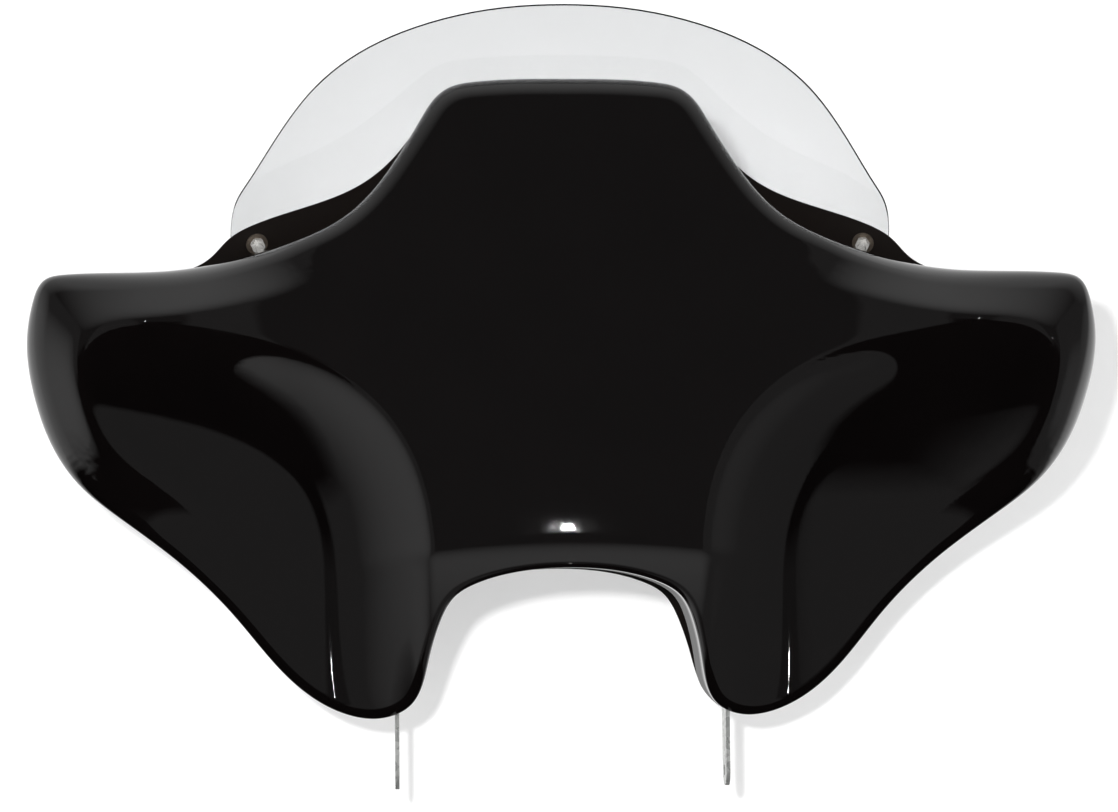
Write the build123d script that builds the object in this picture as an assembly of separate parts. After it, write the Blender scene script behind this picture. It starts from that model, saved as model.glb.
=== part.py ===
from build123d import *
import os

import numpy as np

os.makedirs("parts", exist_ok=True)

# Axes: X to the rider's right, Y forward, Z up. The origin lies midway between the bracket holes.

# Outline as the rider sees it
half_width = 405.0
wing_z = 325.0
wing_top = 386.5
tower_x = 99.5
tower_top = 535.5
leg_x = 150.0
leg_z = 44.0
cut_x = 105.5
cut_top = 161.5

# Windshield screws, and the shoulder and strip that run past them
screw_x = 239.0
screw_z = 417.5
mid_screw_z = 464.0
shoulder_x = screw_x - 43.0
shoulder_z = screw_z - 3.5
strip_long = 86.0
strip_rise = 46.0
strip_end = 34.0
strip_past = 1.5

# Front skin: nose, backward rake, receding chin and the sweep of the wings
nose_y = 77.0
rake = 0.62
rake_z = 270.0
rake_round = 60.0
chin = 0.45
chin_z = 130.0
chin_round = 25.0
sweep = 250.0
sweep_x = 460.0

# Dash face and the lip under it
dash_y = -130.0
dash_tilt = 0.02
lip_z = 179.0
lip_sag = 6.0
lip_slope = 0.75
lip_round = 8.0
dash_end_x = 200.0
wing_start_x = 400.0
wing_depth = 62.0

# Hand pockets
pocket_x = 380.0
pocket_z = 137.5
pocket_wide = 283.0
pocket_high = 215.0
pocket_power = 2.8
pocket_wall = 0.34
pocket_gap = 30.0
rim_flat = 18.0
rim_wide = 52.0
rim_fade_low = 165.0
rim_fade_high = 285.0

# Laminate and the bond between the two mouldings
laminate = 4.0
slant = 1.2
bond = 0.3

# Windshield and its screws
glass = 3.0
glass_gap = 0.25
glass_top = 590.5
glass_side = screw_x + 19.0
screw_d = 6.0
screw_fit = 0.3
head_d = 13.0
head_t = 3.4
head_socket = 4.0
soft_d = 16.0
soft_t = 1.5
washer_d = 17.0
washer_t = 1.2
nut_flats = 10.0
nut_t = 5.0
thread_fit = 0.1
screw_out = 6.0
seat = 0.2

# Brackets and their bolts
bracket_x = 131.0
bracket_t = 3.2
bracket_wide = 26.0
bracket_end = 12.0
bracket_hole = 9.0
bracket_knee = 56.0
bracket_flare = 18.0
bracket_step = 14.0
foot_z = 86.0
foot_wide = 30.0
foot_high = 44.0
foot_seat = 1.0
bolt_pitch = 22.0
bolt_d = 6.0
bolt_head_d = 12.0
bolt_head_t = 3.6
bolt_socket = 4.0
bolt_washer_d = 18.0
bolt_washer_t = 1.6
bolt_out = 3.0
bolt_seat = 0.15
stack_gap = 0.1

# Grid of the moulded skins
grid = 14.0
margin = 20.0
deep = 260.0


def soft(t, w):
    """Zero below t = 0 and t above it, with a rounded corner of width w."""
    return w * np.logaddexp(0.0, t / w)


def ease(a, b, x):
    """Smooth step from 0 at a to 1 at b."""
    t = np.clip((x - a) / (b - a), 0.0, 1.0)
    return t ** 3 * (10 - 15 * t + 6 * t * t)


def front_base(x, z):
    """Y of the front skin."""
    y = nose_y - rake * soft(z - rake_z, rake_round) - chin * soft(chin_z - z, chin_round)
    return y - sweep * (1 - np.sqrt(1 - np.clip(x / sweep_x, -0.98, 0.98) ** 2))


def path(points, first, last):
    """Spline in the XZ plane through points, with its end directions."""
    ends = [(first[0], 0, first[1]), (last[0], 0, last[1])]
    return Spline(*[(x, 0, z) for x, z in points], tangents=ends)


def wing_path():
    """Right wing from its upper edge round the tip to the leg's lowest point."""
    w, h = half_width - leg_x, wing_z - leg_z
    upper = [(0.76 * half_width, wing_top + 4), (0.93 * half_width, wing_top - 2.5)]
    tip = [(0.963 * half_width, wing_top - 6.5), (0.988 * half_width, wing_top - 26), (half_width, wing_z)]
    edge = [(0.986, 0.879), (0.951, 0.769), (0.88, 0.658), (0.762, 0.563), (0.595, 0.442), (0.428, 0.289)]
    leg = [(0.277, 0.129), (0.184, 0.058), (0.094, 0.016), (0.0, 0.0)]
    lower = [(leg_x + a * w, leg_z + b * h) for a, b in edge + leg]
    return [path(upper + tip, (1, -0.1), (0, -1)), path([tip[-1]] + lower, (0, -1), (-1, 0))]


def tower_side(past):
    """Points up the middle of the tower, round its corner and down its flank."""
    corner = [(0, 0), (0.70, 2.5), (0.90, 7.5), (1.0, 15.5), (1.10, 30.5), (1.28, 60.5)]
    return [(a * (tower_x + past), tower_top + past - b) for a, b in corner]


def inner_top():
    """Half of the tower and the shoulder, up to the wing."""
    valley = [(shoulder_x - 31, shoulder_z + 17), (shoulder_x, shoulder_z), (shoulder_x + 44, shoulder_z - 12)]
    return path(tower_side(0) + valley + [(0.76 * half_width, wing_top + 4)], (1, 0), (1, -0.1))


def outer_top():
    """Half of the front skin's upper edge: just past the tower, then the strip that takes the screws."""
    strip = [(-1.0, 1.0), (-0.62, 0.67), (0.0, 0.26)]
    strip = [(screw_x + a * strip_long, screw_z + b * strip_rise) for a, b in strip]
    end = [(screw_x + 0.6 * strip_end, screw_z), (screw_x + strip_end, screw_z - 0.4 * strip_end)]
    wing = [(0.76 * half_width, wing_top + 4)]
    return path(tower_side(strip_past)[:-1] + strip + end + wing, (1, 0), (1, -0.1))


def cut_path(wider):
    """Half of the cut-out for fork and headlamp, from the leg's tip to the middle."""
    c = cut_x + wider
    side = [(leg_x, leg_z), (1.14 * c, leg_z + 11), (c, leg_z + 48), (0.92 * c, cut_top - 41)]
    top = [(0.81 * c, cut_top - 21), (0.66 * c, cut_top - 11.5), (0.42 * c, cut_top - 4), (0, cut_top)]
    return path(side + top, (-1, 0), (-1, 0))


def closed(half):
    """Face inside a half outline and its mirror image."""
    return Face(Wire(list(half) + [mirror(e, about=Plane.YZ).edge() for e in half]))


def prism(face):
    """Outline pushed through the whole depth."""
    return extrude(Pos(0, -deep, 0) * face, amount=2 * deep, dir=(0, 1, 0))


def samples(edges, count):
    """Points and inward normals along a half outline."""
    spots = np.linspace(0, 1, count)
    p = np.array([tuple(e.position_at(t)) for e in edges for t in spots])
    d = np.array([tuple(e.tangent_at(t)) for e in edges for t in spots])
    return p[:, [0, 2]], np.stack([d[:, 2], -d[:, 0]], 1)


def inset(edge, amount):
    """Edge of the outline moved inward."""
    p, n = samples([edge], 25)
    first, last = edge.tangent_at(0), edge.tangent_at(1)
    return path(p + amount * n, (first.X, first.Z), (last.X, last.Z))


def rim_distance(x, z):
    """Distance inside the outer rim, negative outside it."""
    below = Line((leg_x, 0, leg_z), (leg_x, 0, leg_z - 2 * margin))
    p, n = samples([inner_top()] + wing_path() + [below], 160)
    q = np.stack([np.abs(x).ravel(), z.ravel()], 1)
    gap = q[:, None, :] - p[None, :, :]
    near = np.argmin((gap ** 2).sum(2), 1)
    way = np.einsum("ij,ij->i", gap[np.arange(len(q)), near], n[near])
    length = np.sqrt((gap ** 2).sum(2).min(1))
    return (length * np.where(way >= 0, 1, -1)).reshape(x.shape)


def rear_base(x, z, d):
    """Y of the rider's side: dash, lip, shoulders, wings and the two hand pockets."""
    a = np.abs(x)
    lip = lip_z - lip_sag * (a / cut_x) ** 2
    dash = dash_y + dash_tilt * soft(z - lip, lip_round) + lip_slope * soft(lip - z, lip_round)
    wing = front_base(x, z) - wing_depth
    top = dash + (wing - dash) * ease(dash_end_x, wing_start_x, a)
    floor = front_base(x, z) - pocket_gap
    across = np.clip((pocket_x - a) / pocket_wide, 0, None) ** pocket_power
    along = np.clip((z - pocket_z) / pocket_high, 0, None) ** pocket_power
    inside = np.clip((1 - (across + along) ** (1 / pocket_power)) / pocket_wall, 0, 1)
    rim = ease(rim_fade_low, rim_fade_high, z) * (1 - ease(rim_flat, rim_wide, d))
    recess = ease(0, 1, inside ** 0.85) * (1 - rim)
    return top + (floor - top) * recess


def spline_face(x, y, z, tol):
    """Smooth face that passes a grid of points within a tolerance."""
    rows = [[(x[i, j], y[i, j], z[i, j]) for j in range(x.shape[1])] for i in range(x.shape[0])]
    return Face.make_surface_from_array_of_points(rows, tol=tol)


def mesh_grid(x_end, z_low, z_high):
    """Even grid over the outline, as two arrays."""
    nx = 2 * int(round(x_end / grid)) + 1
    nz = int(round((z_high - z_low) / grid)) + 1
    return np.meshgrid(np.linspace(-x_end, x_end, nx), np.linspace(z_low, z_high, nz))


def ahead(face):
    """All space forward of a face."""
    return extrude(face, amount=2 * deep, dir=(0, 1, 0))


def behind(face):
    """All space to the rider's side of a face."""
    return extrude(face, amount=2 * deep, dir=(0, -1, 0))


X, Z = mesh_grid(half_width + margin, leg_z - margin, tower_top + margin)
rear_face = spline_face(X, rear_base(X, Z, rim_distance(X, Z)), Z, 0.6)
front_face = spline_face(X, front_base(X, Z), Z, 0.2)
back_face = Pos(0, -laminate * slant, 0) * front_face


def seat_plane(x, z):
    """Plane that touches the front skin at x, z and looks forward."""
    h = 0.5
    fx = (front_base(x + h, z) - front_base(x - h, z)) / (2 * h)
    fz = (front_base(x, z + h) - front_base(x, z - h)) / (2 * h)
    right = Vector(1, fx, 0)
    return Plane((x, float(front_base(x, z)), z), x_dir=right, z_dir=(-fx, 1, -fz))


def rod(plane, r, low, high):
    """Round bar along a plane's normal, from low to high."""
    return plane.location * Pos(0, 0, low) * extrude(Circle(r), amount=high - low)


def screw_planes():
    """Seats of the three windshield screws: left, middle, right."""
    return [seat_plane(-screw_x, screw_z), seat_plane(0, mid_screw_z), seat_plane(screw_x, screw_z)]


def bolt_planes(side):
    """Seats of the two bolts that hold one bracket."""
    foot = seat_plane(side * (bracket_x + foot_wide / 2), foot_z)
    return [Plane(foot.location * Pos(0, s * bolt_pitch / 2, 0)) for s in (-1, 1)]


def through(plane, thick):
    """Length of a hole through a skin, along the plane's normal."""
    return thick * slant * plane.z_dir.Y


def drill(part, planes, d, reach):
    """Clearance holes through a wall."""
    for p in planes:
        part = part - rod(p, d / 2 + screw_fit, -reach, reach)
    return part


def inner_panel():
    """Tray that faces the rider: skin, and a wall round it that meets the front moulding."""
    half = [inner_top()] + wing_path()
    body = prism(closed(half + [cut_path(0)])) & ahead(rear_face)
    body = body & behind(Pos(0, -bond, 0) * back_face)
    drop = Line((leg_x, 0, leg_z + laminate), (leg_x, 0, leg_z - margin))
    base = Line((leg_x, 0, leg_z - margin), (0, 0, leg_z - margin))
    hollow = prism(closed([inset(e, laminate) for e in half] + [drop, base]))
    return body - (hollow & ahead(Pos(0, laminate * slant, 0) * rear_face))


def outer_shell():
    """Front skin with the cut-out and the holes for screws and bolts."""
    face = closed([outer_top()] + wing_path() + [cut_path(2)])
    part = prism(face) & behind(front_face) & ahead(back_face)
    bolts = bolt_planes(-1) + bolt_planes(1)
    return drill(drill(part, screw_planes(), screw_d, 20), bolts, bolt_d, 20)


def windshield():
    """Clear arched sheet that lies on the front skin."""
    x, z = mesh_grid(glass_side + margin, screw_z - 3 * margin, glass_top + margin)
    inside = spline_face(x, front_base(x, z) + glass_gap, z, 0.2)
    sheet = ahead(inside) & behind(Pos(0, glass * slant, 0) * inside)
    side = glass_side
    arch = [(0, glass_top), (0.4 * side, glass_top - 14), (0.745 * side, glass_top - 63)]
    foot = [(0.945 * side, screw_z + 42), (side, screw_z - 4), (side - 16, screw_z - 20)]
    under = [(screw_x - 60, screw_z - 4), (0.42 * screw_x, mid_screw_z - 26), (0, mid_screw_z - 18)]
    outline = [path(arch + foot[:2], (1, 0), (0, -1)), path(foot[1:], (0, -1), (-1, 0.2))]
    outline = outline + [path(foot[2:] + under, (-1, 0.2), (-1, 0))]
    return drill(sheet & prism(closed(outline)), screw_planes(), screw_d, 20)


def headed(plane, d, head, tall, socket, low, high):
    """Screw with a domed head and a hex socket; the shank runs from low up to the head at high."""
    shank = rod(plane, d / 2, low, high + 0.4 * tall)
    dome = revolve(
        make_face(
            Polyline((0, 0), (head / 2, 0), (head / 2, 0.3 * tall))
            + ThreePointArc((head / 2, 0.3 * tall), (0.42 * head, 0.7 * tall), (0.25 * head, tall))
            + Polyline((0.25 * head, tall), (0, tall), (0, 0))
        ),
        axis=Axis.Y,
    )
    dome = plane.location * Pos(0, 0, high) * Rot(90, 0, 0) * dome
    key = extrude(RegularPolygon(socket / 2, 6, major_radius=False), amount=tall)
    return shank + dome - plane.location * Pos(0, 0, high + 0.45 * tall) * key


def ring(plane, outer, hole, low, high):
    """Washer between two heights over a seat."""
    return rod(plane, outer / 2, low, high) - rod(plane, hole / 2, low - 1, high + 1)


def nut(plane, d, low, high):
    """Hex nut with chamfered corners."""
    body = extrude(RegularPolygon(nut_flats / 2, 6, major_radius=False), amount=high - low)
    corner = nut_flats / 1.732
    cone = Cylinder(corner, high - low, align=(Align.CENTER, Align.CENTER, Align.MIN))
    body = body & chamfer(cone.edges().filter_by(GeomType.CIRCLE), 0.09 * nut_flats, 0.05 * nut_flats)
    return plane.location * Pos(0, 0, low) * body - rod(plane, d / 2 + thread_fit, low - 1, high + 1)


def screw_set():
    """Windshield hardware: screws, soft washers, steel washers and nuts."""
    sets = {"windshield_screws": [], "windshield_soft_washers": [], "windshield_washers": [], "windshield_nuts": []}
    for p in screw_planes():
        on = 2 * glass_gap + through(p, glass)
        under = -through(p, laminate) - seat
        end = under - washer_t - nut_t - screw_out
        head = on + soft_t + stack_gap
        sets["windshield_screws"].append(headed(p, screw_d, head_d, head_t, head_socket, end, head))
        sets["windshield_soft_washers"].append(ring(p, soft_d, screw_d + 2 * screw_fit, on, on + soft_t))
        sets["windshield_washers"].append(ring(p, washer_d, screw_d + 2 * screw_fit, under - washer_t, under))
        top = under - washer_t - stack_gap
        sets["windshield_nuts"].append(nut(p, screw_d, top - nut_t, top))
    return sets


def bracket(side):
    """Plate that hangs from the leg, with a foot bent against the front skin and a hole at its end."""
    foot_plane = seat_plane(side * (bracket_x + foot_wide / 2), foot_z)
    low = -through(foot_plane, laminate) - foot_seat - bracket_t
    foot = foot_plane.location * Pos(0, 0, low) * extrude(RectangleRounded(foot_wide, foot_high, 4), amount=bracket_t)
    for p in bolt_planes(side):
        foot = foot - rod(p, bolt_d / 2 + screw_fit, -20, 20)
    inner = -side * (foot_wide / 2 - bracket_t)
    line = [foot_plane.location * Pos(inner, s * (foot_high / 2 - 4), low + bracket_t / 2) for s in (1, -1)]
    near, far = [l.position for l in line]
    half = bracket_wide / 2
    back = [(-half, 0), (-half, bracket_knee), (far.Y - bracket_flare, far.Z), (far.Y, far.Z)]
    outline = Polyline(*back, (near.Y, near.Z), (half, near.Z - bracket_step), (half, 0))
    end = ThreePointArc((half, 0), (0, -bracket_end), (-half, 0))
    flat = make_face(outline + end) - Circle(bracket_hole / 2)
    plate = extrude(Plane.YZ * flat, amount=bracket_t)
    return Pos(side * bracket_x - (bracket_t / 2), 0, 0) * plate + foot


def bolt_set():
    """Bracket hardware: bolts, washers on the front skin and nuts behind the foot."""
    sets = {"bracket_bolts": [], "bracket_washers": [], "bracket_nuts": []}
    for p in bolt_planes(-1) + bolt_planes(1):
        under = -through(p, laminate) - foot_seat - bracket_t - stack_gap
        on = bolt_seat + bolt_washer_t
        end = under - nut_t - bolt_out
        sets["bracket_bolts"].append(headed(p, bolt_d, bolt_head_d, bolt_head_t, bolt_socket, end, on + stack_gap))
        sets["bracket_washers"].append(ring(p, bolt_washer_d, bolt_d + 2 * screw_fit, bolt_seat, on))
        sets["bracket_nuts"].append(nut(p, bolt_d, under - nut_t, under))
    return sets


nodes = {"inner_panel": inner_panel(), "outer_shell": outer_shell(), "windshield": windshield()}
nodes["left_bracket"] = bracket(-1)
nodes["right_bracket"] = bracket(1)
for name, solids in list(screw_set().items()) + list(bolt_set().items()):
    nodes[name] = Compound(children=solids)
for name, shape in nodes.items():
    export_step(shape, f"parts/{name}.step")
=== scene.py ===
import math

import bpy
import numpy as np
from mathutils import Matrix, Vector
from mathutils.geometry import delaunay_2d_cdt

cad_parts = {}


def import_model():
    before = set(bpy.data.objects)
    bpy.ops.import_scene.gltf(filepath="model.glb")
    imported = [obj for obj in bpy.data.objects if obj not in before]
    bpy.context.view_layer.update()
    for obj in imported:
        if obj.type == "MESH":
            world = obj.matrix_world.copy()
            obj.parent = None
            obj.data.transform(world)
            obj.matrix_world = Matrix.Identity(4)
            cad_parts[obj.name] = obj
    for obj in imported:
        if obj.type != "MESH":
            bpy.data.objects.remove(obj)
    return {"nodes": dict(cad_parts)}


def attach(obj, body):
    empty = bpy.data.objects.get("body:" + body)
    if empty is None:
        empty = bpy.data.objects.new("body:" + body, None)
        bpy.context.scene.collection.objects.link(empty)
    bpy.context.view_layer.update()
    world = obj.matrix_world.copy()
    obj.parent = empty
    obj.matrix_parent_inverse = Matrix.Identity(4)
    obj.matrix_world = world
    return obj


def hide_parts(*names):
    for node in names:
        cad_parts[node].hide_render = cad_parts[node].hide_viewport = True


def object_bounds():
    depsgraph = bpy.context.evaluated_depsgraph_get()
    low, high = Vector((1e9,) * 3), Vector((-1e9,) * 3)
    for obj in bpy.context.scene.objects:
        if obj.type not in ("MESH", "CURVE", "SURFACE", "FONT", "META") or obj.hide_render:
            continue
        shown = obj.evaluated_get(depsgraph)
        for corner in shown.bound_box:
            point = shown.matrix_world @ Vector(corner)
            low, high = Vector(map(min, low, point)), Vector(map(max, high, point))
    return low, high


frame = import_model()
cad_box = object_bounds()

MM = 0.001

# Outline as the rider sees it, in mm
half_width = 405.0
wing_z = 325.0
wing_top = 386.5
tower_x = 99.5
tower_top = 535.5
leg_x = 150.0
leg_z = 44.0
cut_x = 105.5
cut_top = 161.5
join_x = 0.76 * half_width
join_z = wing_top + 4.0
join_way = (1.0, -0.1)
level_end_x = 0.93 * half_width
tip_drop = 26.0
shell_wider = 2.0

# Windshield screws, and the shoulder and strip that run past them
screw_x = 239.0
screw_z = 417.5
mid_screw_z = 464.0
shoulder_x = screw_x - 43.0
shoulder_z = screw_z - 3.5
strip_long = 86.0
strip_rise = 46.0
strip_end = 34.0
strip_past = 1.5

# Front skin
nose_y = 77.0
rake = 0.62
rake_z = 270.0
rake_round = 60.0
chin = 0.45
chin_z = 130.0
chin_round = 25.0
sweep = 250.0
sweep_x = 460.0

# Dash face, lip, wings and hand pockets
dash_y = -130.0
dash_tilt = 0.02
lip_z = 179.0
lip_sag = 6.0
lip_slope = 0.75
lip_round = 2.5
dash_end_x = 200.0
wing_start_x = 400.0
wing_depth = 62.0
pocket_x = 380.0
pocket_z = 137.5
pocket_wide = 283.0
pocket_high = 215.0
pocket_power = 2.8
pocket_wall = 0.34
pocket_lean = 0.85
pocket_gap = 30.0
rim_flat = 34.0
rim_wide = 60.0
rim_fade_low = 165.0
rim_fade_high = 285.0

# Rolled rims and walls; a pair gives the start and end of a change, as a share of a stretch or in mm
tower_roll = 16.0
shoulder_roll = 14.0
wing_roll = 16.0
leg_roll = 9.0
cut_roll = 5.0
front_roll = 10.0
edge_roll = 3.0
shoulder_share = (0.2, 0.5)
wing_share = (0.62, 1.0)
leg_share = (0.05, 0.6)
flare_top = 0.72
flare_side = 1.1
flare_round = 2.5
flare_grow = (0.62, 0.95)
flare_fade = (0.05, 0.5)
tail_long = 40.0
tail_count = 40
band_top = 36.0
band_side = 28.0
band_left = 36.0
band_right = 28.0
corner = 18.0
laminate = 4.0
skin = 4.8
bond = 0.3
return_deep = 55.0
return_run = (15.0, 60.0)
open_run = 10.0
open_dull = 0.75
wing_run = 60.0
cut_run = 30.0
thick_rim = (3.5, 9.0)

# Shading of the rider's side: slopes and shares that make walls and rims look gentler
steepest = 0.75
shine_top = 1.08
shine_side = 1.6
edge_soft = 6.0
chin_calm = 0.36
wall_calm = 0.9
wall_upright = (0.15, 0.5)
side_calm = 0.5
lip_shine = 0.5
leg_before = 8.0
leg_past = 18.0
leg_blend = 25.0
rim_level = 0.85
rim_left = 0.1
rim_right = 0.6

# Threads of the windshield screws, with radii as shares of the diameter and lifts as shares of the pitch
screw_d = 6.0
thread_pitch = 1.0
thread_turns = 5.4
thread_steps = 24
thread_start = -16.1
thread_ridge = ((0.49, -0.35), (0.53, 0.0), (0.49, 0.35))

# Mesh spacing and rings
edge_step = 3.0
fine_step = 1.2
panel_step = 3.0
shell_step = 9.0
slope_step = 0.4
field_past = 4.0
field_clear = 0.45
merge_gap = 1e-5
block = 2000
wall_count = 4
hollow_count = 3
rear_turns = 13
front_turns = 9
smooth_share = 0.25
smooth_rounds = 150

# Stage and lamps, in metres and watts
floor_drop = 0.035
stage_wide = 8.0
wall_y = 0.13
floor_glow = 0.6
wall_glow = 0.3
lamp_aim = (0, 0, 0.28)
flash_power = 0.5
flash_place = (0.10, -2.0, 0.205)
flash_size = 0.018
key_power = 31.0
key_place = (-0.28, -2.0, 0.33)
key_size = 0.08

# Room that the gloss reflects: from and to on an axis of the direction, then the light at each end
sky = (0.3, 0.92, 0.10, 0.98)
sky_foot = (-0.30, -0.12, 0.0, 1.0)
flank_foot = (-0.45, -0.36, 0.0, 0.22)
flank_tilt = 0.15
flank_width = (0.22, 0.36, 0.0, 1.0)
ground = (-0.45, -0.3, 0.0, 1.0)
left_light = (-0.5, -0.95, 0.0, 0.9)
right_light = (0.76, 0.96, 0.0, 0.38)
ahead_light = (0.0, 0.35, 0.0, 1.0)
room_light = 0.7

# Camera, in metres, degrees and millimetres of lens and sensor
camera_aim = (-0.0053, -0.095, 0.285)
camera_far = 1.9
camera_yaw = 3.0
camera_lift = -4.0
camera_roll = -0.5
camera_lens = 80.0
camera_sensor = 36.0


def soft(t, w):
    """Zero below t = 0 and t above it, with a rounded corner of width w."""
    return w * np.logaddexp(0.0, t / w)


def ease(a, b, x):
    """Smooth step from 0 at a to 1 at b."""
    t = np.clip((x - a) / (b - a), 0.0, 1.0)
    return t ** 3 * (10 - 15 * t + 6 * t * t)


def gate(t):
    """Smooth switch from 1 below zero to 0 above it."""
    return 1 / (1 + np.exp(np.clip(t, -30, 30)))


def limited(x, z, most):
    """Factor that keeps a slope below a limit."""
    return (1 + (np.hypot(x, z) / most) ** 4) ** -0.25


def run_length(p):
    """Distance along a line of points, from its start."""
    return np.append(0, np.cumsum(np.hypot(*np.diff(p, axis=0).T)))


def lip_line(x):
    """Height of the dash lip."""
    return lip_z - lip_sag * (x / cut_x) ** 2


def front_base(x, z):
    """Y of the front skin."""
    y = nose_y - rake * soft(z - rake_z, rake_round) - chin * soft(chin_z - z, chin_round)
    return y - sweep * (1 - np.sqrt(1 - np.clip(x / sweep_x, -0.98, 0.98) ** 2))


def curve(points, first, last, step):
    """Even points and inward normals on a smooth curve through points with given end directions."""
    p = np.array(points, float)
    h = np.linalg.norm(np.diff(p, axis=0), axis=1)
    n = len(p)
    a = np.zeros((n, n))
    b = np.zeros((n, 2))
    a[0, 0] = a[-1, -1] = 1
    b[0] = np.array(first, float) / np.hypot(*first)
    b[-1] = np.array(last, float) / np.hypot(*last)
    for i in range(1, n - 1):
        a[i, i - 1 : i + 2] = 1 / h[i - 1], 2 / h[i - 1] + 2 / h[i], 1 / h[i]
        b[i] = 3 * (p[i] - p[i - 1]) / h[i - 1] ** 2 + 3 * (p[i + 1] - p[i]) / h[i] ** 2
    m = np.linalg.solve(a, b)
    t = np.concatenate([[0], np.cumsum(h)])
    s = np.linspace(0, t[-1], int(t[-1] / step) + 1)
    k = np.clip(np.searchsorted(t, s, side="right") - 1, 0, n - 2)
    w = h[k][:, None]
    u = ((s - t[k]) / h[k])[:, None]
    q = (1 + 2 * u) * (1 - u) ** 2 * p[k] + u * (1 - u) ** 2 * w * m[k]
    q = q + u * u * (3 - 2 * u) * p[k + 1] - u * u * (1 - u) * w * m[k + 1]
    d = 6 * u * (u - 1) * (p[k] - p[k + 1]) / w
    d = d + (1 - u) * (1 - 3 * u) * m[k] + u * (3 * u - 2) * m[k + 1]
    d = d / np.linalg.norm(d, axis=1, keepdims=True)
    return q, np.stack([d[:, 1], -d[:, 0]], 1)


def wing_paths(step):
    """Right wing from its upper edge round the tip to the leg's lowest point."""
    w, h = half_width - leg_x, wing_z - leg_z
    upper = [(join_x, join_z), (level_end_x, wing_top - 2.5)]
    tip = [(0.963 * half_width, wing_top - 6.5), (0.988 * half_width, wing_top - tip_drop)]
    tip = tip + [(half_width, wing_z)]
    edge = [(0.986, 0.879), (0.951, 0.769), (0.88, 0.658), (0.762, 0.563), (0.595, 0.442), (0.428, 0.289)]
    leg = [(0.277, 0.129), (0.184, 0.058), (0.094, 0.016), (0.0, 0.0)]
    lower = [(leg_x + a * w, leg_z + b * h) for a, b in edge + leg]
    return [curve(upper + tip, join_way, (0, -1), step), curve([tip[-1]] + lower, (0, -1), (-1, 0), step)]


def tower_side(past):
    """Points up the middle of the tower, round its corner and down its flank."""
    flank = [(0, 0), (0.70, 2.5), (0.90, 7.5), (1.0, 15.5), (1.10, 30.5), (1.28, 60.5)]
    return [(a * (tower_x + past), tower_top + past - b) for a, b in flank]


def inner_top(step):
    """Half of the tower and the shoulder, up to the wing."""
    valley = [(-31, 17), (0, 0), (44, -12)]
    valley = [(shoulder_x + a, shoulder_z + b) for a, b in valley]
    return curve(tower_side(0) + valley + [(join_x, join_z)], (1, 0), join_way, step)


def outer_top(step):
    """Half of the front skin's upper edge, with the strip that takes the screws."""
    strip = [(-1.0, 1.0), (-0.62, 0.67), (0.0, 0.26)]
    strip = [(screw_x + a * strip_long, screw_z + b * strip_rise) for a, b in strip]
    end = [(screw_x + 0.6 * strip_end, screw_z), (screw_x + strip_end, screw_z - 0.4 * strip_end)]
    points = tower_side(strip_past)[:-1] + strip + end + [(join_x, join_z)]
    return curve(points, (1, 0), join_way, step)


def cut_path(wider, step):
    """Half of the cut-out for fork and headlamp, from the leg's tip to the middle."""
    c = cut_x + wider
    side = [(leg_x, leg_z), (1.14 * c, leg_z + 11), (c, leg_z + 48), (0.92 * c, cut_top - 41)]
    top = [(0.81 * c, cut_top - 21), (0.66 * c, cut_top - 11.5), (0.42 * c, cut_top - 4), (0, cut_top)]
    return curve(side + top, (-1, 0), (-1, 0), step)


def rim_lines():
    """Rim along the top and down the side, each with points, normals, run and share of the flare."""
    top = inner_top(fine_step)
    upper, lower = wing_paths(fine_step)
    level = upper[0][:, 0] <= level_end_x
    steep = upper[0][:, 1] <= wing_top - tip_drop
    below = np.linspace(leg_z, leg_z - tail_long, tail_count)
    tail = (np.stack([np.full(tail_count, leg_x), below], 1), np.tile([-1.0, 0.0], (tail_count, 1)))
    above = [top, (upper[0][level], upper[1][level])]
    beside = [(upper[0][steep], upper[1][steep]), lower, tail]
    grow = np.append(ease(*flare_grow, np.linspace(0, 1, len(top[0]))), np.ones(level.sum()))
    fade = 1 - ease(*flare_fade, np.linspace(0, 1, len(lower[0])))
    fade = np.concatenate([np.ones(steep.sum()), fade, np.zeros(tail_count)])
    lines = []
    for parts, share in ((above, grow), (beside, fade)):
        p = np.vstack([e[0] for e in parts])
        n = np.vstack([e[1] for e in parts])
        lines.append((p, n, run_length(p), share))
    return lines


def nearest(x, z, line):
    """Signed distance to a rim line, negative outside, and the flare's share at the nearest point."""
    p, n, run, share = line
    q = np.stack([np.abs(x).ravel(), z.ravel()], 1)
    gap = np.empty(len(q))
    place = np.empty(len(q))
    for i in range(0, len(q), block):
        g = q[i : i + block, None, :] - p[None, :, :]
        k = np.argmin((g ** 2).sum(2), 1)
        g = g[np.arange(len(k)), k]
        s = run[k] + g[:, 1] * n[k, 0] - g[:, 0] * n[k, 1]
        near = np.stack([np.interp(s, run, p[:, 0]), np.interp(s, run, p[:, 1])], 1)
        face = np.stack([np.interp(s, run, n[:, 0]), np.interp(s, run, n[:, 1])], 1)
        gap[i : i + block] = ((q[i : i + block] - near) * face).sum(1)
        place[i : i + block] = np.interp(s, run, share)
    return gap.reshape(x.shape), place.reshape(x.shape)


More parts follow.
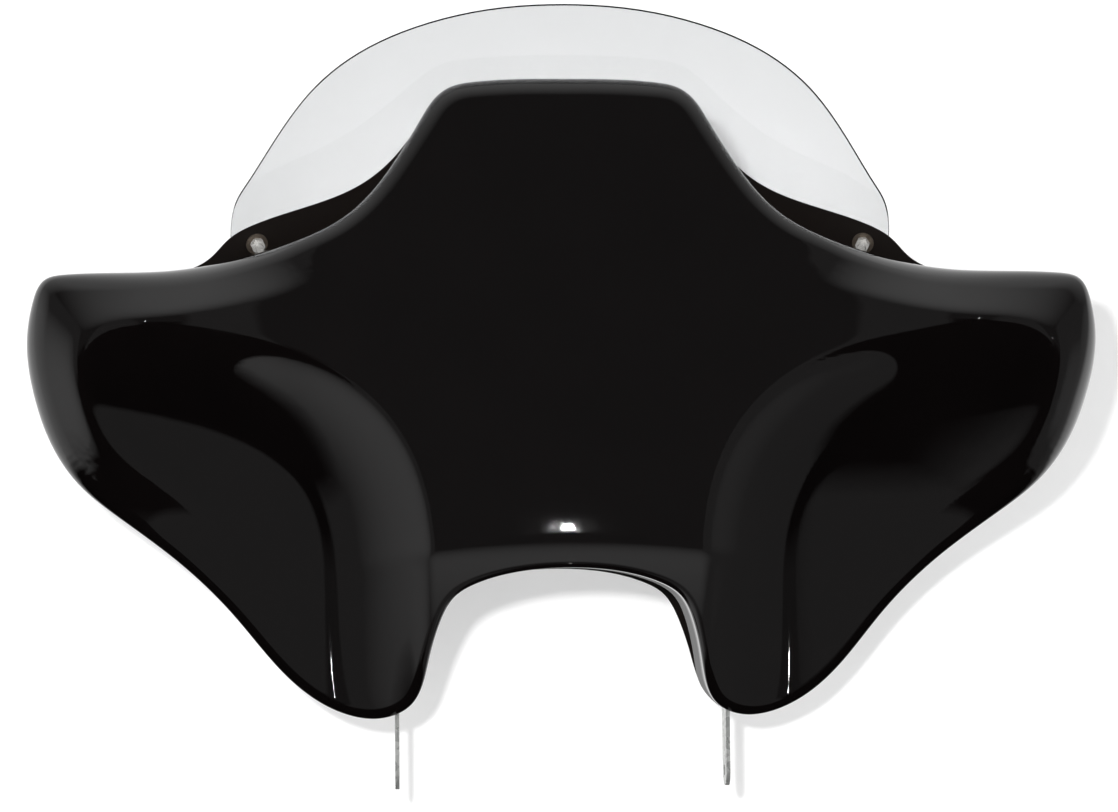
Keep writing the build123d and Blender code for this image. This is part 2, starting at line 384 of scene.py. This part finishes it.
def rear_layers(x, z):
    """Forms of the rider's side: dash and wings, pocket floors, their walls, ledge and flared rim."""
    d_top, grow = nearest(x, z, rim[0])
    d_side, fade = nearest(x, z, rim[1])
    d = np.minimum(d_top, d_side)
    a = np.abs(x)
    lip = lip_line(x)
    dash = dash_y + dash_tilt * soft(z - lip, lip_round) + lip_slope * soft(lip - z, lip_round)
    wing = front_base(x, z) - wing_depth
    top = dash + (wing - dash) * ease(dash_end_x, wing_start_x, a)
    across = np.clip((pocket_x - a) / pocket_wide, 0, None) ** pocket_power
    along = np.clip((z - pocket_z) / pocket_high, 0, None) ** pocket_power
    inside = np.clip((1 - (across + along) ** (1 / pocket_power)) / pocket_wall, 0, 1)
    bands = []
    for reach in (band_side, np.where(x < 0, band_left, band_right)):
        t_top = (band_top - d_top) / corner
        t_side = (reach - d_side) / corner
        side = gate(t_top - t_side)
        bands.append((corner * np.logaddexp(t_top, t_side), side, grow + (fade - grow) * side))
    t, side, share = bands[0]
    t_shine, side_shine, share_shine = bands[1]
    flare_slope = flare_top + (flare_side - flare_top) * side
    shine_slope = shine_top + (shine_side - shine_top) * side_shine
    ledge = ease(rim_fade_low, rim_fade_high, z)
    return {
        "top": top,
        "floor": front_base(x, z) - pocket_gap,
        "inside": inside,
        "sunk": ease(0, 1, inside ** pocket_lean),
        "raised": ledge * (1 - ease(rim_flat, rim_wide, d)),
        "edge": ledge * (1 - ease(0, edge_soft, -t_shine)),
        "flare": share * flare_slope * soft(t, flare_round),
        "shine": share_shine * shine_slope * soft(t_shine, flare_round),
        "hold": fade * side_shine * gate(-t_shine / flare_round),
    }


def rear_base(x, z):
    """Y of the rider's side: dash, lip, shoulders, wings with flared rim, and two hand pockets."""
    at = rear_layers(x, z)
    return at["top"] + (at["floor"] - at["top"]) * at["sunk"] * (1 - at["raised"]) + at["flare"]


rim = rim_lines()


def whole(parts, values):
    """Closed outline from its right half: points, normals and one value list per point."""
    p = np.vstack([e[0] for e in parts])
    n = np.vstack([e[1] for e in parts])
    v = np.concatenate(values)
    keep = np.append(True, np.hypot(*np.diff(p, axis=0).T) > 0.01)
    p, n, v = p[keep], n[keep], v[keep]
    p[0, 0] = p[-1, 0] = 0.0
    flip = np.array([-1.0, 1.0])
    p = np.vstack([p, p[-2:0:-1] * flip])
    n = np.vstack([n, n[-2:0:-1] * flip])
    return p, n, np.concatenate([v, v[-2:0:-1]])


def eased(n, roll):
    """Normals that turn slowly where the rim is wide, so that its rings do not cross at a corner."""
    share = smooth_share * (roll / roll.max())[:, None] ** 2
    for _ in range(smooth_rounds):
        n = n + share * (np.roll(n, 1, 0) + np.roll(n, -1, 0) - 2 * n)
    return n / np.linalg.norm(n, axis=1, keepdims=True)


def facing(gx, gz):
    """Unit normal, looking to the rider, of a skin with given slopes."""
    n = np.stack([gx, -np.ones_like(gx), gz], -1)
    return n / np.linalg.norm(n, axis=-1, keepdims=True)


def front_skin(x, z):
    """Y and normal of the front skin at single points."""
    h = slope_step
    gx = (front_base(x + h, z) - front_base(x - h, z)) / (2 * h)
    gz = (front_base(x, z + h) - front_base(x, z - h)) / (2 * h)
    return front_base(x, z), facing(gx, gz)


def rear_skin(x, z):
    """Y and shading normal of the rider's side; steep walls are shaded as gentler ones."""
    h = slope_step
    sloped = ("top", "floor", "sunk", "shine")
    at = rear_layers(x, z)
    left, right = rear_layers(x - h, z), rear_layers(x + h, z)
    low, high = rear_layers(x, z - h), rear_layers(x, z + h)
    across = {k: (right[k] - left[k]) / (2 * h) for k in sloped}
    along = {k: (high[k] - low[k]) / (2 * h) for k in sloped}
    bare = 1 - at["edge"]
    share = at["sunk"] * bare
    deep = (at["floor"] - at["top"]) * bare
    wall_x, wall_z = deep * across["sunk"], deep * along["sunk"]
    wall_z = wall_z * (1 - wall_calm * ease(*wall_upright, np.abs(wall_x)))
    level = np.abs(wall_x) / (np.hypot(wall_x, wall_z) + 1e-6)
    limit = steepest * (1 - side_calm * at["inside"] * level ** 2)
    calm = limited(wall_x, wall_z, limit)
    leg = ease(cut_x - leg_before, cut_x + leg_past, np.abs(x)) * ease(0, leg_blend, lip_z - z)
    under = (lip_slope + lip_shine) * gate((z - lip_line(x)) / lip_round)
    gx = across["top"] * (1 - share) + across["floor"] * share + wall_x * calm + across["shine"]
    gz = (along["top"] + under) * (1 - share) * (1 - leg) + along["floor"] * share
    gz = gz + wall_z * calm + along["shine"]
    gz = gz - chin_calm * gate((z - chin_z) / chin_round)
    gz = gz * (1 - rim_level * at["hold"])
    most = steepest + np.where(x > 0, rim_right, rim_left) * at["hold"]
    calm = limited(gx, gz, most)
    return rear_base(x, z), facing(gx * calm, gz * calm)


def ring_set(p, n, inset, roll, form, way, shift, turns):
    """Rings of a rolled rim, from the flat skin out to the edge; way +1 rolls forward and -1 back."""
    rings = []
    for turn in turns:
        d = inset + roll * (1 - math.sin(turn))
        x, z = (p + n * d[:, None]).T
        y, flat = form(x, z)
        y = y + shift + way * roll * (1 - math.cos(turn))
        out = np.stack([-n[:, 0], np.zeros(len(n)), -n[:, 1]], 1)
        side = math.sin(turn) * out + math.cos(turn) * flat * way
        rings.append((np.stack([x, y, z], 1), side / np.linalg.norm(side, axis=1, keepdims=True)))
    return rings


def inner_field(loop, reach, step):
    """Points of an even grid inside a ring, and the triangles that join both."""
    columns = np.arange(-half_width, half_width, step)
    x, z = np.meshgrid(columns, np.arange(leg_z, tower_top + field_past, step))
    q = np.stack([x.ravel(), z.ravel()], 1)
    t = np.roll(loop, -1, 0) - np.roll(loop, 1, 0)
    inward = np.stack([t[:, 1], -t[:, 0]], 1) / np.linalg.norm(t, axis=1, keepdims=True)
    keep = np.empty(len(q), bool)
    for i in range(0, len(q), block):
        g = q[i : i + block, None, :] - loop[None, :, :]
        k = np.argmin((g ** 2).sum(2), 1)
        keep[i : i + block] = (g[np.arange(len(k)), k] * inward[k]).sum(1) > reach
    q = q[keep]
    pts = [Vector(v) for v in np.vstack([loop, q])]
    edges = [(i, (i + 1) % len(loop)) for i in range(len(loop))]
    got = delaunay_2d_cdt(pts, edges, [], 1, merge_gap)
    if len(got[0]) != len(pts):
        raise ValueError("the triangulation added points")
    order = [o[0] for o in got[3]]
    tris = [[order[i] for i in f] for f in got[2]]
    return q, tris


def band_faces(start, count, size):
    """Quads between rings that follow one another."""
    faces = []
    for k in range(count - 1):
        a = start + k * size
        for i in range(size):
            j = (i + 1) % size
            faces.append((a + i, a + j, a + size + j, a + size + i))
    return faces


def mesh_object(name, points, normals, faces):
    """Smooth mesh with given vertex normals, in metres."""
    mesh = bpy.data.meshes.new(name)
    mesh.from_pydata((points * MM).tolist(), [], faces)
    mesh.validate()
    mesh.shade_smooth()
    if normals is not None:
        mesh.normals_split_custom_set_from_vertices(normals.tolist())
    mesh.update()
    obj = bpy.data.objects.new(name, mesh)
    bpy.context.scene.collection.objects.link(obj)
    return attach(obj, "root")


def oriented(points, normals, faces):
    """Faces turned so that each looks along its normals."""
    out = []
    for f in faces:
        a, b, c = points[f[0]], points[f[1]], points[f[2]]
        side = np.cross(b - a, c - a)
        out.append(tuple(f) if side @ normals[list(f)].sum(0) >= 0 else tuple(reversed(f)))
    return out


def skin_mesh(name, rings, polished, form, way, shifts, steps):
    """Closed moulding: skin, rolled rim, walls and hollow side; a ring may state its roughness."""
    size = len(rings[0][0])
    points = [r[0] for r in rings]
    normals = [r[1] for r in rings]
    faces = band_faces(0, len(rings), size)
    base = size * len(rings)
    ends = ((0, shifts[0], steps[0], 1), (len(rings) - 1, shifts[1], steps[1], -1))
    for ring, shift, step, sign in ends:
        loop = rings[ring][0][:, [0, 2]]
        q, tris = inner_field(loop, field_clear * step, step)
        y, n = form(q[:, 0], q[:, 1])
        points.append(np.stack([q[:, 0], y + shift, q[:, 1]], 1))
        normals.append(n * way * sign)
        for t in tris:
            faces.append(tuple(ring * size + i if i < size else base + i - size for i in t))
        base += len(q)
    first = len(points[len(rings)])
    points = np.vstack(points)
    normals = np.vstack(normals)
    rough = np.ones(len(points), np.float32)
    dull = [r[2] if len(r) > 2 else np.zeros(size) for r in rings[:polished]]
    rough[: size * polished] = np.concatenate(dull)
    rough[size * len(rings) : size * len(rings) + first] = 0
    obj = mesh_object(name, points, normals, oriented(points, normals, faces))
    obj.data.attributes.new("rough_side", "FLOAT", "POINT").data.foreach_set("value", rough)
    return obj


def wall_rings(p, n, inset, low, high, count, sign):
    """Rings of a straight wall between two heights."""
    rings = []
    q = p + n * inset[:, None]
    side = np.stack([-n[:, 0], np.zeros(len(n)), -n[:, 1]], 1) * sign
    for t in np.linspace(0, 1, count):
        rings.append((np.stack([q[:, 0], low + (high - low) * t, q[:, 1]], 1), side))
    return rings


def rim_radius(parts):
    """Radius of the rider's rim on each stretch: wide round the wing, small at leg and cut-out."""
    top, upper, lower, cut = [np.linspace(0, 1, len(e[0])) for e in parts]
    a = tower_roll + (shoulder_roll - tower_roll) * ease(*shoulder_share, top)
    a = a + (wing_roll - shoulder_roll) * ease(*wing_share, top)
    c = wing_roll + (leg_roll - wing_roll) * ease(*leg_share, lower)
    d = leg_roll + (cut_roll - leg_roll) * ease(0, 1, cut)
    return [a, np.full(len(upper), wing_roll), c, d]


def front_radius(parts):
    """Radius of the front edge on each stretch: small at the top and the cut-out, round at the wings."""
    top, upper, lower, cut = [run_length(e[0]) for e in parts]
    a = np.full(len(top), edge_roll)
    b = edge_roll + (front_roll - edge_roll) * ease(0, wing_run, upper)
    c = np.full(len(lower), front_roll)
    d = front_roll + (edge_roll - front_roll) * ease(0, cut_run, cut)
    return [a, b, c, d]


def inner_panel():
    """Panel that faces the rider, with its rolled rim."""
    parts = [inner_top(edge_step)] + wing_paths(edge_step) + [cut_path(0, edge_step)]
    p, n, roll = whole(parts, rim_radius(parts))
    run = run_length(parts[3][0])
    closed = [np.zeros(len(e[0])) for e in parts[:3]]
    open_side = whole(parts, closed + [ease(0, open_run, run)])[2]
    flange = whole(parts, closed + [return_deep * ease(*return_run, run)])[2]
    front_r = whole(parts, front_radius(parts))[2]
    x, z = p.T
    rear = rear_base(x, z)
    bond_y = front_base(x, z) - skin - bond - (front_roll - laminate) * ease(*thick_rim, front_r)
    end = bond_y + (rear + roll + laminate + flange - bond_y) * open_side
    turns = np.radians(np.linspace(0, 90, rear_turns))
    zero = np.zeros(len(p))
    inset = np.full(len(p), laminate)
    slow = eased(n, roll)
    out = ring_set(p, slow, zero, roll, rear_skin, 1, 0, turns)
    back = ring_set(p, slow, inset, roll - laminate, rear_skin, 1, skin, turns[::-2])
    back = [(q, -m) for q, m in back]
    walls = wall_rings(p, n, zero, rear + roll, end, wall_count, 1)[1:]
    walls = [(q, m, open_dull * open_side) for q, m in walls]
    rings = out + walls + cap_rings(walls[-1], p + n * laminate, end, 1)
    polished = len(rings)
    hollow = wall_rings(p, n, inset, end, back[0][0][:, 1], hollow_count, -1)[:-1]
    rings = rings + hollow + back
    return skin_mesh("panel_moulding", rings, polished, rear_skin, 1, (0, skin), (panel_step, shell_step))


def cap_rings(last, q, y, way):
    """Two rings of a flat end face, with their own normals."""
    flat = np.tile([0.0, float(way), 0.0], (len(y), 1))
    return [(last[0], flat), (np.stack([q[:, 0], y, q[:, 1]], 1), flat)]


def outer_shell():
    """Front skin with rounded wings and a thin upper edge."""
    parts = [outer_top(edge_step)] + wing_paths(edge_step) + [cut_path(shell_wider, edge_step)]
    p, n, roll = whole(parts, front_radius(parts))
    deep = ease(*thick_rim, roll)
    inset = laminate * deep
    small = (roll - laminate) * deep
    turns = np.radians(np.linspace(0, 90, front_turns))
    zero = np.zeros(len(p))
    out = ring_set(p, n, zero, roll, front_skin, -1, 0, turns)
    back = ring_set(p, n, inset, np.maximum(small, 0), front_skin, -1, -skin, turns[::-2])
    back = [(q, -m) for q, m in back]
    rings = out + cap_rings(out[-1], back[0][0][:, [0, 2]], back[0][0][:, 1], -1)
    polished = len(rings)
    steps = (shell_step, shell_step)
    return skin_mesh("shell_moulding", rings + back, polished, front_skin, -1, (0, -skin), steps)


def seat_matrix(x, z):
    """Place on the front skin, with its Z along the skin's normal."""
    y, n = front_skin(np.array([x]), np.array([z]))
    up = Vector(-n[0])
    right = Vector((1, 0, 0)) - up * up.x
    right.normalize()
    turn = Matrix((right, up.cross(right), up)).transposed().to_4x4()
    return Matrix.Translation(Vector((x, float(y[0]), z)) * MM) @ turn


def screw_threads():
    """Thread ridges on the screw ends that stand out of the nuts."""
    points, faces = [], []
    steps = np.arange(0, int(thread_turns * thread_steps))
    for x, z in ((-screw_x, screw_z), (0, mid_screw_z), (screw_x, screw_z)):
        seat = np.array(seat_matrix(x, z))
        for k in steps:
            turn = 2 * math.pi * k / thread_steps
            for share, lift in thread_ridge:
                r = share * screw_d
                high = thread_start + thread_pitch * (k / thread_steps + lift)
                spot = np.array([r * math.cos(turn), r * math.sin(turn), high]) * MM
                points.append((seat @ np.append(spot, 1))[:3] / MM)
            if k:
                a = len(points) - 6
                faces += [(a, a + 3, a + 4, a + 1), (a + 1, a + 4, a + 5, a + 2)]
    return mesh_object("screw_threads", np.array(points), None, faces)


def node_tree(name):
    """New material with a Principled shader; returns material, nodes, links and shader."""
    mat = bpy.data.materials.new(name)
    mat.use_nodes = True
    nodes, links = mat.node_tree.nodes, mat.node_tree.links
    return mat, nodes, links, nodes["Principled BSDF"]


def noise(nodes, links, scale, detail=3.0):
    """Noise in object space, in 1/m."""
    place = nodes.new("ShaderNodeTexCoord")
    tex = nodes.new("ShaderNodeTexNoise")
    tex.inputs["Scale"].default_value = scale
    tex.inputs["Detail"].default_value = detail
    links.new(place.outputs["Object"], tex.inputs["Vector"])
    return tex


def ramp(nodes, links, source, low, high, a, b):
    """Grey value mapped from a range of a texture to a range of a socket."""
    node = nodes.new("ShaderNodeMapRange")
    node.inputs["From Min"].default_value = low
    node.inputs["From Max"].default_value = high
    node.inputs["To Min"].default_value = a
    node.inputs["To Max"].default_value = b
    links.new(source, node.inputs["Value"])
    return node.outputs["Result"]


def tint(nodes, links, value, dark, light):
    """Colour between two, by a value."""
    mix = nodes.new("ShaderNodeMix")
    mix.data_type = "RGBA"
    mix.inputs["A"].default_value = (*dark, 1)
    mix.inputs["B"].default_value = (*light, 1)
    links.new(value, mix.inputs["Factor"])
    return mix.outputs["Result"]


def gelcoat():
    """Polished black gel coat with a faint unevenness and dust, and bare resin on the rough side."""
    mat, nodes, links, skin_node = node_tree("black_gelcoat")
    cloud = noise(nodes, links, 18.0)
    dust = noise(nodes, links, 900.0, 2.0)
    side = nodes.new("ShaderNodeAttribute")
    side.attribute_name = "rough_side"
    coat = tint(nodes, links, cloud.outputs["Fac"], (0.0013, 0.001, 0.001), (0.0021, 0.0016, 0.0016))
    resin = tint(nodes, links, dust.outputs["Fac"], (0.004, 0.0028, 0.0024), (0.009, 0.0065, 0.0055))
    colour = nodes.new("ShaderNodeMix")
    colour.data_type = "RGBA"
    links.new(side.outputs["Fac"], colour.inputs["Factor"])
    links.new(coat, colour.inputs["A"])
    links.new(resin, colour.inputs["B"])
    links.new(colour.outputs["Result"], skin_node.inputs["Base Color"])
    gloss = nodes.new("ShaderNodeMix")
    gloss.data_type = "FLOAT"
    links.new(side.outputs["Fac"], gloss.inputs["Factor"])
    links.new(ramp(nodes, links, dust.outputs["Fac"], 0.3, 0.75, 0.02, 0.04), gloss.inputs["A"])
    gloss.inputs["B"].default_value = 0.55
    links.new(gloss.outputs["Result"], skin_node.inputs["Roughness"])
    skin_node.inputs["IOR"].default_value = 1.5
    wave = noise(nodes, links, 60.0, 1.0)
    bump = nodes.new("ShaderNodeBump")
    bump.inputs["Strength"].default_value = 0.02
    bump.inputs["Distance"].default_value = 0.002
    links.new(wave.outputs["Fac"], bump.inputs["Height"])
    links.new(bump.outputs["Normal"], skin_node.inputs["Normal"])
    return mat


def clear_sheet():
    """Clear acrylic with a faint grey body and fine haze."""
    mat, nodes, links, sheet = node_tree("clear_sheet")
    haze = noise(nodes, links, 400.0)
    links.new(ramp(nodes, links, haze.outputs["Fac"], 0.3, 0.8, 0.0, 0.03), sheet.inputs["Roughness"])
    body = tint(nodes, links, haze.outputs["Fac"], (0.68, 0.686, 0.693), (0.69, 0.696, 0.703))
    links.new(body, sheet.inputs["Base Color"])
    sheet.inputs["Transmission Weight"].default_value = 1.0
    sheet.inputs["IOR"].default_value = 1.49
    path = nodes.new("ShaderNodeLightPath")
    clear = nodes.new("ShaderNodeBsdfTransparent")
    mix = nodes.new("ShaderNodeMixShader")
    links.new(path.outputs["Is Shadow Ray"], mix.inputs["Fac"])
    links.new(sheet.outputs["BSDF"], mix.inputs[1])
    links.new(clear.outputs["BSDF"], mix.inputs[2])
    links.new(mix.outputs["Shader"], nodes["Material Output"].inputs["Surface"])
    return mat


def plated(name, dark, light, rough, scale, metallic):
    """Dull plated metal with a patchy surface."""
    mat, nodes, links, metal = node_tree(name)
    metal.inputs["Metallic"].default_value = metallic
    patch = nodes.new("ShaderNodeTexVoronoi")
    place = nodes.new("ShaderNodeTexCoord")
    links.new(place.outputs["Object"], patch.inputs["Vector"])
    patch.inputs["Scale"].default_value = scale
    spots = nodes.new("ShaderNodeSeparateColor")
    links.new(patch.outputs["Color"], spots.inputs["Color"])
    links.new(tint(nodes, links, spots.outputs["Red"], dark, light), metal.inputs["Base Color"])
    gloss = ramp(nodes, links, spots.outputs["Green"], 0.0, 1.0, rough, rough + 0.2)
    links.new(gloss, metal.inputs["Roughness"])
    return mat


def soft_black():
    """Soft black washer."""
    mat, nodes, links, body = node_tree("soft_black")
    grain = noise(nodes, links, 1500.0)
    colour = tint(nodes, links, grain.outputs["Fac"], (0.012, 0.012, 0.012), (0.03, 0.03, 0.03))
    links.new(colour, body.inputs["Base Color"])
    body.inputs["Roughness"].default_value = 0.7
    return mat


def white(name, glow, backless):
    """White stage; a wall seen from behind lets the view through."""
    mat, nodes, links, body = node_tree(name)
    grain = noise(nodes, links, 30.0)
    colour = tint(nodes, links, grain.outputs["Fac"], (0.61, 0.61, 0.61), (0.63, 0.63, 0.63))
    links.new(colour, body.inputs["Base Color"])
    body.inputs["Roughness"].default_value = 1.0
    body.inputs["Specular IOR Level"].default_value = 0.0
    body.inputs["Emission Color"].default_value = (1, 1, 1, 1)
    body.inputs["Emission Strength"].default_value = glow
    if backless:
        side = nodes.new("ShaderNodeNewGeometry")
        clear = nodes.new("ShaderNodeBsdfTransparent")
        mix = nodes.new("ShaderNodeMixShader")
        links.new(side.outputs["Backfacing"], mix.inputs["Fac"])
        links.new(body.outputs["BSDF"], mix.inputs[1])
        links.new(clear.outputs["BSDF"], mix.inputs[2])
        links.new(mix.outputs["Shader"], nodes["Material Output"].inputs["Surface"])
    return mat


def paint(obj, mat):
    """One material on a piece."""
    obj.data.materials.clear()
    obj.data.materials.append(mat)


def stage_plane(name, size, place, turn, mat):
    """Large flat sheet of the stage."""
    mesh = bpy.data.meshes.new(name)
    s = size / 2
    mesh.from_pydata([(-s, -s, 0), (s, -s, 0), (s, s, 0), (-s, s, 0)], [], [(0, 1, 2, 3)])
    obj = bpy.data.objects.new(name, mesh)
    obj.location = place
    obj.rotation_euler = turn
    mesh.materials.append(mat)
    bpy.context.scene.collection.objects.link(obj)
    return obj


def combined(nodes, links, operation, a, b):
    """Two values joined by a named operation."""
    node = nodes.new("ShaderNodeMath")
    node.operation = operation
    links.new(a, node.inputs[0])
    links.new(b, node.inputs[1])
    return node.outputs[0]


def world():
    """White to the camera; to reflections a dark room with a bright sky, dim flanks and side lights."""
    w = bpy.data.worlds.new("studio")
    bpy.context.scene.world = w
    w.use_nodes = True
    nodes, links = w.node_tree.nodes, w.node_tree.links
    back = nodes["Background"]
    path = nodes.new("ShaderNodeLightPath")
    place = nodes.new("ShaderNodeTexCoord")
    axes = nodes.new("ShaderNodeSeparateXYZ")
    links.new(place.outputs["Generated"], axes.inputs["Vector"])
    x, y, z = (axes.outputs[k] for k in "XYZ")
    aside = nodes.new("ShaderNodeMath")
    aside.operation = "ABSOLUTE"
    links.new(x, aside.inputs[0])
    tilt = nodes.new("ShaderNodeMath")
    tilt.operation = "MULTIPLY_ADD"
    links.new(x, tilt.inputs[0])
    tilt.inputs[1].default_value = flank_tilt
    links.new(z, tilt.inputs[2])
    pairs = (
        (z, sky, z, sky_foot),
        (tilt.outputs[0], flank_foot, aside.outputs[0], flank_width),
        (z, ground, x, left_light),
        (z, ground, x, right_light),
        (z, ground, y, ahead_light),
    )
    zones = []
    for first, first_range, second, second_range in pairs:
        a = ramp(nodes, links, first, *first_range)
        b = ramp(nodes, links, second, *second_range)
        zones.append(combined(nodes, links, "MULTIPLY", a, b))
    room = zones[0]
    for zone in zones[1:]:
        room = combined(nodes, links, "MAXIMUM", room, zone)
    seen, through = path.outputs["Is Camera Ray"], path.outputs["Is Transmission Ray"]
    plain = combined(nodes, links, "MAXIMUM", seen, through)
    pick = nodes.new("ShaderNodeMix")
    pick.data_type = "FLOAT"
    links.new(path.outputs["Is Glossy Ray"], pick.inputs["Factor"])
    pick.inputs["A"].default_value = room_light
    links.new(room, pick.inputs["B"])
    last = nodes.new("ShaderNodeMix")
    last.data_type = "FLOAT"
    links.new(plain, last.inputs["Factor"])
    links.new(pick.outputs["Result"], last.inputs["A"])
    last.inputs["B"].default_value = 1.0
    links.new(last.outputs["Result"], back.inputs["Strength"])
    back.inputs["Color"].default_value = (1, 1, 1, 1)


def lamp(name, power, place, size):
    """Round lamp that looks at the object."""
    data = bpy.data.lights.new(name, "AREA")
    data.energy = power
    data.shape = "DISK"
    data.size = size
    obj = bpy.data.objects.new(name, data)
    obj.location = place
    obj.rotation_euler = (Vector(lamp_aim) - Vector(place)).to_track_quat("-Z", "Y").to_euler()
    bpy.context.scene.collection.objects.link(obj)
    return obj


def camera():
    """Camera a little to the left of the middle plane, low and looking up."""
    data = bpy.data.cameras.new("camera")
    data.sensor_width = camera_sensor
    data.lens = camera_lens
    obj = bpy.data.objects.new("camera", data)
    yaw, lift, roll = (math.radians(v) for v in (camera_yaw, camera_lift, camera_roll))
    back = Vector((-math.sin(yaw) * math.cos(lift), -math.cos(yaw) * math.cos(lift), math.sin(lift)))
    obj.location = Vector(camera_aim) + back * camera_far
    turn = (-back).to_track_quat("-Z", "Y").to_matrix() @ Matrix.Rotation(roll, 3, "Z")
    obj.rotation_euler = turn.to_euler()
    bpy.context.scene.collection.objects.link(obj)
    bpy.context.scene.camera = obj


black = gelcoat()
panel = inner_panel()
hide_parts("inner_panel")
paint(panel, black)
shell = outer_shell()
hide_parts("outer_shell")
paint(shell, black)

zinc = plated("zinc_plate", (0.42, 0.43, 0.42), (0.72, 0.73, 0.71), 0.25, 260.0, 0.75)
bright = plated("bright_steel", (0.66, 0.65, 0.62), (0.8, 0.79, 0.77), 0.1, 500.0, 0.55)
brown = plated("brown_washer", (0.2, 0.16, 0.13), (0.3, 0.25, 0.2), 0.3, 500.0, 0.85)
looks = {
    "windshield": (clear_sheet(), "clear_sheet"),
    "left_bracket": (zinc, "zinc_plate"),
    "right_bracket": (zinc, "zinc_plate"),
    "windshield_washers": (brown, "brown_washer"),
    "windshield_soft_washers": (soft_black(), "soft_black"),
}
for node, obj in frame["nodes"].items():
    if node in ("inner_panel", "outer_shell"):
        continue
    mat, slot_name = looks.get(node, (bright, "bright_steel"))
    paint(obj, mat)

paint(screw_threads(), bright)

floor_z = cad_box[0].z - floor_drop
wall_place = (0, wall_y, floor_z + stage_wide / 2)
white_floor = white("white_floor", floor_glow, False)
floor = stage_plane("floor", stage_wide, (0, 0, floor_z), (0, 0, 0), white_floor)
white_wall = white("white_wall", wall_glow, True)
wall = stage_plane("wall", stage_wide, wall_place, (math.radians(90), 0, 0), white_wall)
for sheet in (floor, wall):
    sheet.visible_glossy = False
world()
flash = lamp("flash", flash_power, flash_place, flash_size)
flash.visible_diffuse = False
key = lamp("key", key_power, key_place, key_size)
key.visible_glossy = False
bpy.context.scene.view_settings.view_transform = "Standard"
camera()
